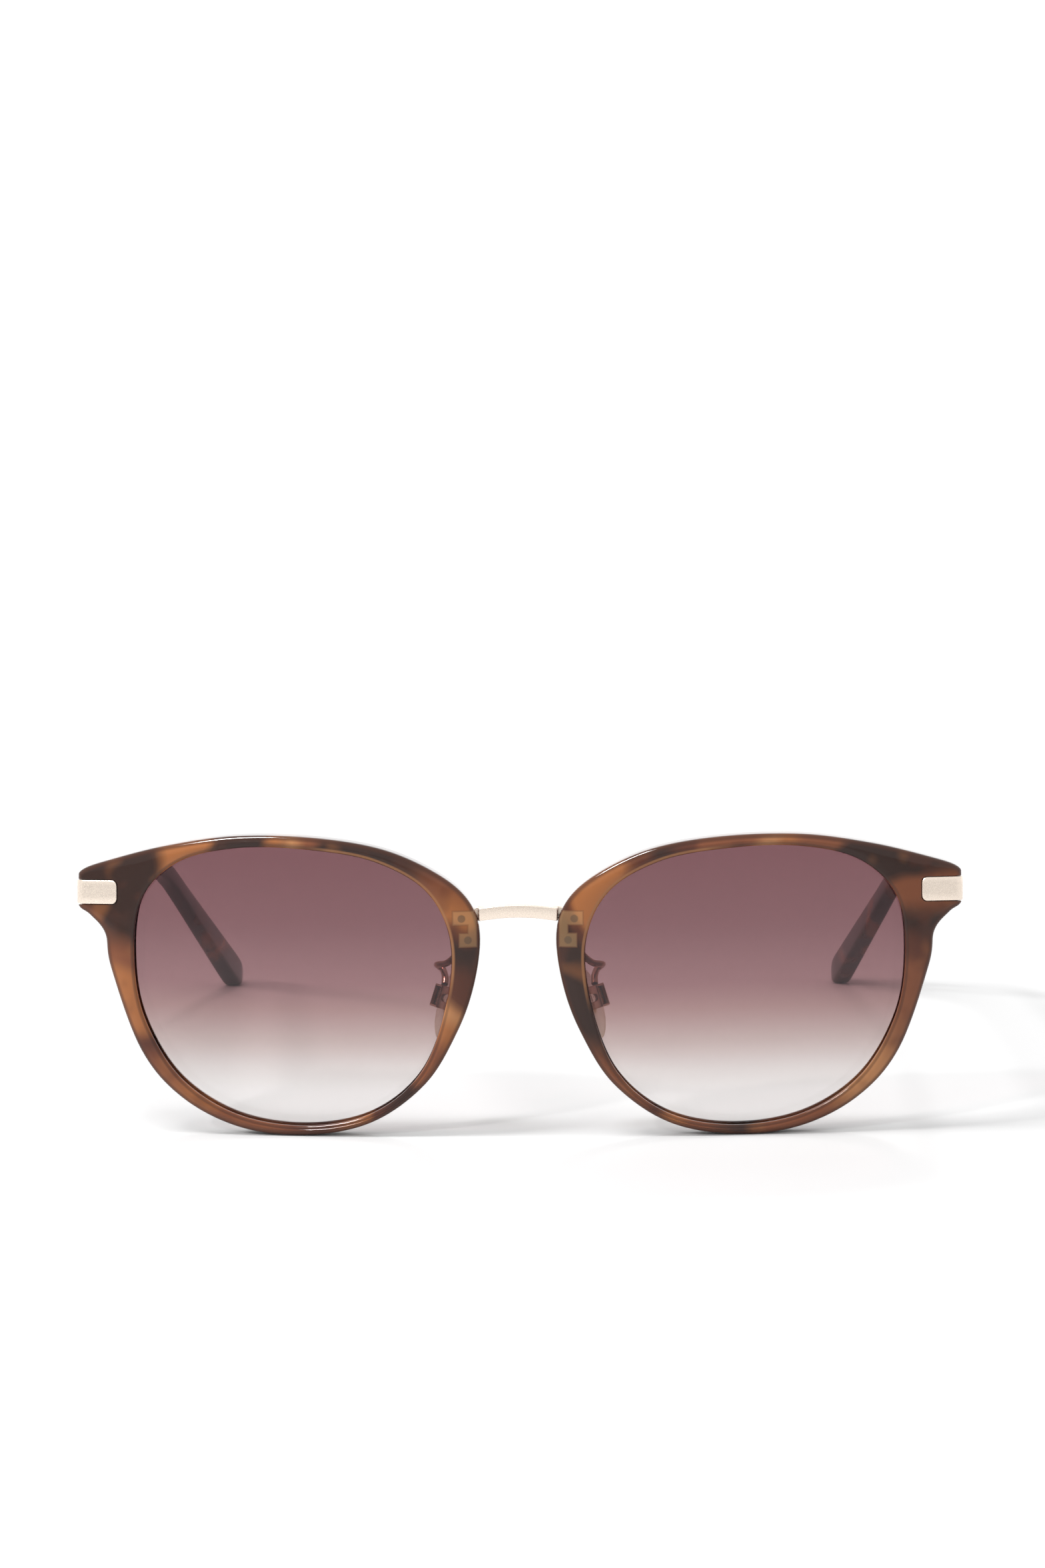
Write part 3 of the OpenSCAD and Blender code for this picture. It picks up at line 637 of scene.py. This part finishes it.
def cut_pocket(ob, side, attrs):
    """Lets the pockets of the end cap and the bridge plate into the rim, keeping the rim's attributes."""
    verts, faces = strip(CAP_IN - 0.12, MITRE_Y + 1, -CAP_DEEP, 1.2, CAP_H + 0.24, CAP_ROUND + 0.1, 0.01)
    verts, faces = list(verts), list(faces)
    outline = [(4.5, 5.55), (9.35, 5.55), (9.35, 7.85), (7.95, 7.85), (7.95, 9.05), (10.35, 9.05),
               (10.35, 11.35), (4.5, 11.35)]
    plate_verts, plate_faces = loft([[(x, y, LENS_Z + z) for x, z in outline] for y in (4.44, 7.0)])
    faces += [tuple(len(verts) + i for i in f) for f in plate_faces]
    verts += plate_verts
    cutter = add_piece("cutter", verts, faces, None, M_STEEL, (), side)
    m = ob.modifiers.new("pocket", "BOOLEAN")
    m.operation, m.solver, m.object = "DIFFERENCE", "EXACT", cutter
    bpy.context.view_layer.update()
    tree = KDTree(len(ob.data.vertices))
    for i, v in enumerate(ob.data.vertices):
        tree.insert(v.co, i)
    tree.balance()
    me = bpy.data.meshes.new_from_object(ob.evaluated_get(bpy.context.evaluated_depsgraph_get()))
    ob.modifiers.clear()
    nearest = [tree.find(v.co)[1] for v in me.vertices]
    for key, values in attrs.items():
        layer = me.attributes.get(key) or me.attributes.new(key, "FLOAT", "POINT")
        layer.data.foreach_set("value", np.array(values, np.float32)[nearest])
    me.polygons.foreach_set("use_smooth", [True] * len(me.polygons))
    me.set_sharp_from_angle(angle=math.radians(38))
    ob.data = me
    ob.data.materials.clear()
    ob.data.materials.append(M_RIM[side])
    bpy.data.objects.remove(cutter)


# ---------------------------------------------------------------- lenses
def build_lens(side, name):
    n, rows = 144, 22
    edge, normal = lens_edge(np.arange(n) * 360 / n)
    edge = edge + normal * 0.6
    verts, faces = [], []
    for depth in (LENS_INSET, LENS_INSET + LENS_T):
        base = len(verts)
        verts.append((LENS_X, front_y(LENS_X, LENS_Z, depth), LENS_Z))
        for r in range(1, rows + 1):
            for p in edge * (r / rows):
                verts.append((LENS_X + p[0], front_y(LENS_X + p[0], LENS_Z + p[1], depth), LENS_Z + p[1]))
        for k in range(n):
            faces.append((base, base + 1 + k, base + 1 + (k + 1) % n))
        for r in range(rows - 1):
            a = base + 1 + r * n
            for k in range(n):
                faces.append((a + k, a + n + k, a + n + (k + 1) % n, a + (k + 1) % n))
    front_last, back_last = 1 + (rows - 1) * n, 1 + rows * n + 1 + (rows - 1) * n
    for k in range(n):
        m = (k + 1) % n
        faces.append((front_last + k, back_last + k, back_last + m, front_last + m))
    add_piece(name, verts, faces, "front", M_LENS, (name.replace("_gradient", ""),), side, 40)


# ---------------------------------------------------------------- bridge
BRIDGE_TOP, BRIDGE_R, BRIDGE_H, BRIDGE_T = LENS_Z + 12.2, 34, 2.0, 0.9


def build_bridge():
    leg, corner_r, y_front, y_back = 5.85, 0.35, 2.65, 4.85
    half = [((7.0, y_back), (0, 1)), ((6.6, y_back), (0, 1))]
    for k in range(0, 6):                       # outwards turn at the plate
        a = math.radians(90 * k / 5)
        half.append(((leg + 0.5 - 0.5 * math.sin(a), y_back - 0.5 + 0.5 * math.cos(a)),
                     (-math.sin(a), math.cos(a))))
    half.append(((leg, 3.75), (-1, 0)))
    half = [(p, n, BRIDGE_T) for p, n in half]
    # a tight corner to the front: its outside is rounded, its inside is one point
    reach = BRIDGE_T / 2
    for k in range(8):
        a = math.radians(90 * k / 7)
        out = (leg + reach - corner_r + corner_r * math.cos(a),
               y_front - reach + corner_r - corner_r * math.sin(a))
        into = (leg - reach - 0.02 * k, y_front + reach + 0.02 * (7 - k))
        dx, dy = into[0] - out[0], into[1] - out[1]
        thick = math.hypot(dx, dy)
        half.append((((out[0] + into[0]) / 2, (out[1] + into[1]) / 2), (dx / thick, dy / thick), thick))
    for x in (4.8, 3.6, 2.4, 1.2):
        half.append(((x, y_front), (0, 1), BRIDGE_T))
    mirrored = [((-p[0], p[1]), (-n[0], n[1]), t) for p, n, t in reversed(half)]
    path = half + [((0, y_front), (0, 1), BRIDGE_T)] + mirrored
    rings = []
    for (x, y), (nx, ny), thick in path:
        top = BRIDGE_TOP - BRIDGE_R + math.sqrt(BRIDGE_R ** 2 - x * x)
        low = BRIDGE_TOP - BRIDGE_R + math.sqrt((BRIDGE_R - BRIDGE_H) ** 2 - x * x)
        mid, h = (top + low) / 2, top - low
        rings.append([(x + nx * u, y + ny * u, mid + v) for u, v in rounded_section(thick, h, 0.15, 3)])
    verts, faces = loft(rings)
    add_piece("bridge_band", verts, faces, "front", M_GOLD, ("bridge",), 1, 50)
    outline = [(6.5, 5.6), (9.3, 5.6), (9.3, 7.8), (7.9, 7.8), (7.9, 9.1), (10.3, 9.1), (10.3, 11.3),
               (6.5, 11.3)]
    for side, which in ((1, "left"), (-1, "right")):
        rings = [[(x, y, LENS_Z + z) for x, z in outline] for y in (4.45, 5.25)]
        verts, faces = loft(rings)
        plate = add_piece("bridge_plate_" + which, verts, faces, "front", M_GOLD, (),
                          side, 35)
        bevel(plate, 0.12)


# ---------------------------------------------------------------- nose pads and their arms
PAD_C = (10.6, 10, LENS_Z - 5)
BOX_X, BOX_SIZE, BOX_WALL, BOX_Z = 1.2, (2.4, 2.4, 3.7), 0.35, 0.5
ARM = [
    (8.6, 5.0, 8.45), (8.6, 5.9, 8.2), (8.8, 7.3, 6.9), (9.7, 8.9, 3.7), (11.5, 9.9, 1.7),
    (13.0, 10.9, 1.2), (13.2, 12.2, 0.9), (12.4, 12.3, 0.2), (12.0, 11.0, -0.7), (12.0, 9.8, -1.8),
]


def from_pad(x, y, z):
    """rotate([0, -20, -30]) and then to the pad's centre."""
    a, b = math.radians(-20), math.radians(-30)
    x, z = x * math.cos(a) + z * math.sin(a), -x * math.sin(a) + z * math.cos(a)
    x, y = x * math.cos(b) - y * math.sin(b), x * math.sin(b) + y * math.cos(b)
    return (PAD_C[0] + x, PAD_C[1] + y, PAD_C[2] + z)


def tube(points, radius, sides=16):
    p = np.array(points, float)
    t = np.gradient(p, axis=0)
    t /= np.linalg.norm(t, axis=1)[:, None]
    u = np.cross(t[0], (0.1, 1, 0.1))
    rings = []
    for i in range(len(p)):
        u = u - t[i] * np.dot(u, t[i])
        u /= np.linalg.norm(u)
        v = np.cross(t[i], u)
        rings.append([p[i] + radius * (u * math.cos(q) + v * math.sin(q))
                      for q in np.arange(sides) * 2 * math.pi / sides])
    return loft(rings)


def build_pad_arm(side, which):
    route = open_spline([(x, y, LENS_Z + z) for x, y, z in ARM], 8)
    verts, faces = tube(route, 0.55)
    add_piece(which + "_pad_wire", verts, faces, "front", M_ARM,
              (which + "_pad_arm",), side, 50)
    # foot brazed to the plate
    corners = [(7.9, 7.85), (9.2, 7.85), (9.2, 9.05), (7.9, 9.05)]
    foot = [[(x, y, LENS_Z + z) for x, z in corners] for y in (4.5, 5.6)]
    verts, faces = loft(foot)
    bevel(add_piece(which + "_pad_foot", verts, faces, "front", M_ARM, (), side), 0.2)
    # box open at both ends
    x0, hy, zc, hz = BOX_X, BOX_SIZE[1] / 2, BOX_Z, BOX_SIZE[2] / 2
    x1, w = BOX_X + BOX_SIZE[0], BOX_WALL

    def frame_ring(x, cut):
        corners = ((-1, -1), (1, -1), (1, 1), (-1, 1))
        return [from_pad(x, sy * (hy - cut), zc + sz * (hz - cut)) for sy, sz in corners]

    rings = [frame_ring(x1, 0), frame_ring(x0, 0), frame_ring(x0, w), frame_ring(x1, w)]
    verts, faces = loft(rings, closed_way=True)
    box = add_piece(which + "_pad_box", verts, faces, "front", M_ARM, (), side)
    bevel(box, 0.14, 3)


PAD_W, PAD_H = 7.4, 12.5


def build_nose_pad(side, which):
    """An oval with a domed face towards the nose and a rolled edge."""
    a, b, n = PAD_W / 2, PAD_H / 2, 72
    rings = []
    # from the back face's middle out to the edge, then over the dome
    shape = [(0.9, 0.02), (0.9, 0.5), (0.9, 0.86), (0.84, 0.94), (0.66, 0.985), (0.4, 1.0), (0.1, 0.995),
             (-0.25, 0.965), (-0.5, 0.91), (-0.72, 0.80), (-0.9, 0.62), (-1.02, 0.4), (-1.08, 0.2),
             (-1.1, 0.02)]
    angles = np.arange(n) * 2 * math.pi / n
    for x, k in shape:
        rings.append([from_pad(x, a * k * math.cos(q), b * k * math.sin(q)) for q in angles])
    verts, faces = loft(rings)
    add_piece(which + "_silicone_pad", verts, faces, which + "_pad_body", M_PAD,
              (which + "_nose_pad",), side, 60)


# ---------------------------------------------------------------- end caps
def build_cap(side, which):
    verts, faces = strip(CAP_IN, MITRE_Y - 0.05, -CAP_DEEP + 0.02, CAP_PROUD, CAP_H, CAP_ROUND, 0.2)
    add_piece(which + "_metal_cap", verts, faces, "front", M_GOLD,
              (which + "_end_cap",), side, 40)


# ---------------------------------------------------------------- temples
TEMPLE_IN, TEMPLE_T = 1.6, 3.0
TEMPLE_MID = TEMPLE_IN + TEMPLE_T / 2
RUN, BEND_R, BEND = 80, 26, math.radians(33)
BEND_L = BEND_R * BEND
PLAN_RUN, PLAN_R, PLAN = 74, 70, math.radians(16)
TIP_R = 2.8
BEND_END = (RUN + BEND_R * math.sin(BEND), -BEND_R * (1 - math.cos(BEND)))
BEND_END_Z = HINGE_Z - BEND_END[0] * math.sin(PANTO) + BEND_END[1] * math.cos(PANTO)
TIP_L = (BEND_END_Z - TIP_R) / math.sin(PANTO + BEND)
TIP_S = RUN + BEND_L + TIP_L


def side_point(s):
    a = min(1, max(0, (s - RUN) / BEND_L)) * BEND
    if s < RUN:
        return s, 0.0, a
    if s < RUN + BEND_L:
        return RUN + BEND_R * math.sin(a), -BEND_R * (1 - math.cos(a)), a
    t = s - RUN - BEND_L
    return BEND_END[0] + t * math.cos(a), BEND_END[1] - t * math.sin(a), a


def plan_x(y):
    if y < PLAN_RUN:
        return TEMPLE_MID
    turned = PLAN_RUN + PLAN_R * math.sin(PLAN)
    if y < turned:
        return TEMPLE_MID - PLAN_R * (1 - math.cos(math.asin((y - PLAN_RUN) / PLAN_R)))
    return TEMPLE_MID - PLAN_R * (1 - math.cos(PLAN)) - (y - turned) * math.tan(PLAN)


def build_temple(side, which):
    flat = MITRE_Y + 0.1
    s_list = [flat, flat + 0.12, flat + 0.3] + list(np.linspace(1, TIP_S, 90))
    s_list += [TIP_S + TIP_R * math.sin(math.radians(q)) for q in (12, 24, 36, 48, 58, 68, 76, 83, 88)]
    rings = []
    for s in s_list:
        y, z, a = side_point(s)
        h = float(np.interp(s, (0, 40, 80, 100, 125), (5.2, 4.0, 3.5, 4.0, 5.6)))
        w = width = float(np.interp(s, (0, 60, 100, 128), (TEMPLE_T, 2.7, 2.9, 3.3)))
        shrink = 0.0
        if s > TIP_S:
            k = math.sqrt(max(0.0, 1 - ((s - TIP_S) / TIP_R) ** 2))
            h *= k
            w *= 0.45 + 0.55 * math.sqrt(k)
        if s < flat + 0.2:
            shrink = 0.2 if s == flat else 0.06
        mid = plan_x(y) + TEMPLE_T / 2 - width / 2
        r = min(0.85, w * 0.36, h * 0.42)
        ring = []
        for u, v in rounded_section(w - 2 * shrink, h - 2 * shrink, r, 5):
            ring.append(from_hinge(mid + u, y + v * math.sin(a), z + v * math.cos(a)))
        rings.append(ring)
    verts, faces = loft(rings)
    add_piece(which + "_temple_acetate", verts, faces, which + "_temple_body", M_TEMPLE,
              (which + "_temple",), side, 50)


for side, which in ((1, "left"), (-1, "right")):
    build_rim(side, which + "_acetate_rim")
    build_lens(side, which + "_gradient_lens")
    build_pad_arm(side, which)
    build_nose_pad(side, which)
    build_cap(side, which)
    build_temple(side, which)
build_bridge()

# ---------------------------------------------------------------- finishes of the CAD nodes that stay
def finish_of(name):
    if "insert" in name:
        return M_INSERT
    return M_GOLD if "screw" in name or "rivet" in name else M_STEEL


for name, node in frame["nodes"].items():
    if node.hide_render:
        continue
    node.data.materials.clear()
    node.data.materials.append(finish_of(name))
    node.data.polygons.foreach_set("use_smooth", [True] * len(node.data.polygons))
    node.data.set_sharp_from_angle(angle=math.radians(35))

# ---------------------------------------------------------------- floor, light and camera
floor_t = Tree("white_floor")
floor_vec, _, floor_y, _ = floor_t.place()
floor_n = floor_t.noise(floor_vec, 0.01, 3.0)
floor_col = floor_t.mix(floor_n, (0.585, 0.585, 0.585), (0.575, 0.575, 0.577))
# painted light: the floor glows, with no glow up to 100 mm behind the middle and 0.45 from 600 mm, so the
# far floor and the sweep stay white
floor_mat = floor_t.done(floor_t.principled(
    Base_Color=floor_col, Roughness=0.6, Specular_IOR_Level=0.15, Emission_Color=(1, 1, 1, 1),
    Emission_Strength=floor_t.span(floor_y, 100, 600, 0.0, 0.45)))
# a sheet that lies flat under the glasses and sweeps up in front and behind
SWEEP_R = 0.6
sweep = [(SWEEP_R * math.sin(math.radians(q)), SWEEP_R - SWEEP_R * math.cos(math.radians(q)))
         for q in range(0, 91, 6)]
profile = [(-1.3 - y, z) for y, z in reversed(sweep)] + [(-0.6, 0.0), (0.0, 0.0), (0.3, 0.0)]
profile += [(0.9 + y, z) for y, z in sweep]
ACROSS = 25
columns = [-3 + 0.25 * i for i in range(ACROSS)]
floor_me = bpy.data.meshes.new("floor")
floor_me.from_pydata([(x, y, z) for y, z in profile for x in columns], [], [
    (j * ACROSS + i, j * ACROSS + i + 1, (j + 1) * ACROSS + i + 1, (j + 1) * ACROSS + i)
    for j in range(len(profile) - 1) for i in range(ACROSS - 1)])
floor_me.polygons.foreach_set("use_smooth", [True] * len(floor_me.polygons))
floor_me.materials.append(floor_mat)
floor = bpy.data.objects.new("floor", floor_me)
bpy.context.scene.collection.objects.link(floor)

world = bpy.data.worlds.new("studio")
bpy.context.scene.world = world
world.use_nodes = True
world.node_tree.nodes["Background"].inputs["Color"].default_value = (1, 1, 1, 1)
world.node_tree.nodes["Background"].inputs["Strength"].default_value = 1.0


def aimed(name, data, pos, target):
    ob = bpy.data.objects.new(name, data)
    bpy.context.scene.collection.objects.link(ob)
    ob.location = pos
    ob.rotation_mode = "QUATERNION"
    ob.rotation_quaternion = (Vector(target) - Vector(pos)).to_track_quat("-Z", "Y")
    return ob


def area(name, pos, target, width, height, radiance):
    data = bpy.data.lights.new(name, "AREA")
    data.shape, data.size, data.size_y = "RECTANGLE", width, height
    data.energy = radiance * math.pi * width * height
    return aimed(name, data, pos, target)


def sun(name, towards, strength, angle):
    data = bpy.data.lights.new(name, "SUN")
    data.energy, data.angle = strength, math.radians(angle)
    ob = aimed(name, data, (0, 0, 0.5), Vector((0, 0, 0.5)) + Vector(towards))
    ob.visible_glossy = False


# The key lamp gives soft light and a broad highlight. key_shine, 1 mm above it so that neither hides
# the other, gives only the crisp highlight. The suns give only soft light.
KEY_TARGET = (0.0, -0.05, 0.02)
area("key", (-0.21, -0.142, 0.486), KEY_TARGET, 0.09, 0.2, 28)
area("key_shine", (-0.21, -0.142, 0.487), KEY_TARGET, 0.06, 0.17, 95).visible_diffuse = False
sun("front_left", (0.8, 0.97, -1), 0.75, 4)
sun("left_low", (2.0, 0.15, -1), 1.5, 7)
sun("back", (-0.12, -1.0, -1), 0.6, 7)

# The camera stands a little to the wearer's left of the middle and looks down. Its values come from a
# fit to ten points of the photograph, with the roll and the shift then set one by one.
yaw, pitch = math.radians(1.37), math.radians(7.78)
distance, height, shift_x = 689, 151, 0.94
roll = math.radians(-0.45)
cam_data = bpy.data.cameras.new("camera")
cam_data.sensor_width = 36
cam_data.lens = 101.86
cam_data.clip_start, cam_data.clip_end = 0.01, 20
cam = bpy.data.objects.new("camera", cam_data)
bpy.context.scene.collection.objects.link(cam)
cam.location = ((shift_x * math.cos(yaw) + distance * math.sin(yaw)) / 1000,
                (shift_x * math.sin(yaw) - distance * math.cos(yaw) - Y_MID) / 1000, height / 1000)
look = Vector((-math.sin(yaw) * math.cos(pitch), math.cos(yaw) * math.cos(pitch), -math.sin(pitch)))
cam.rotation_mode = "QUATERNION"
cam.rotation_quaternion = look.to_track_quat("-Z", "Y") @ Quaternion((0, 0, 1), roll)
bpy.context.scene.camera = cam
bpy.context.scene.view_settings.view_transform = "Standard"
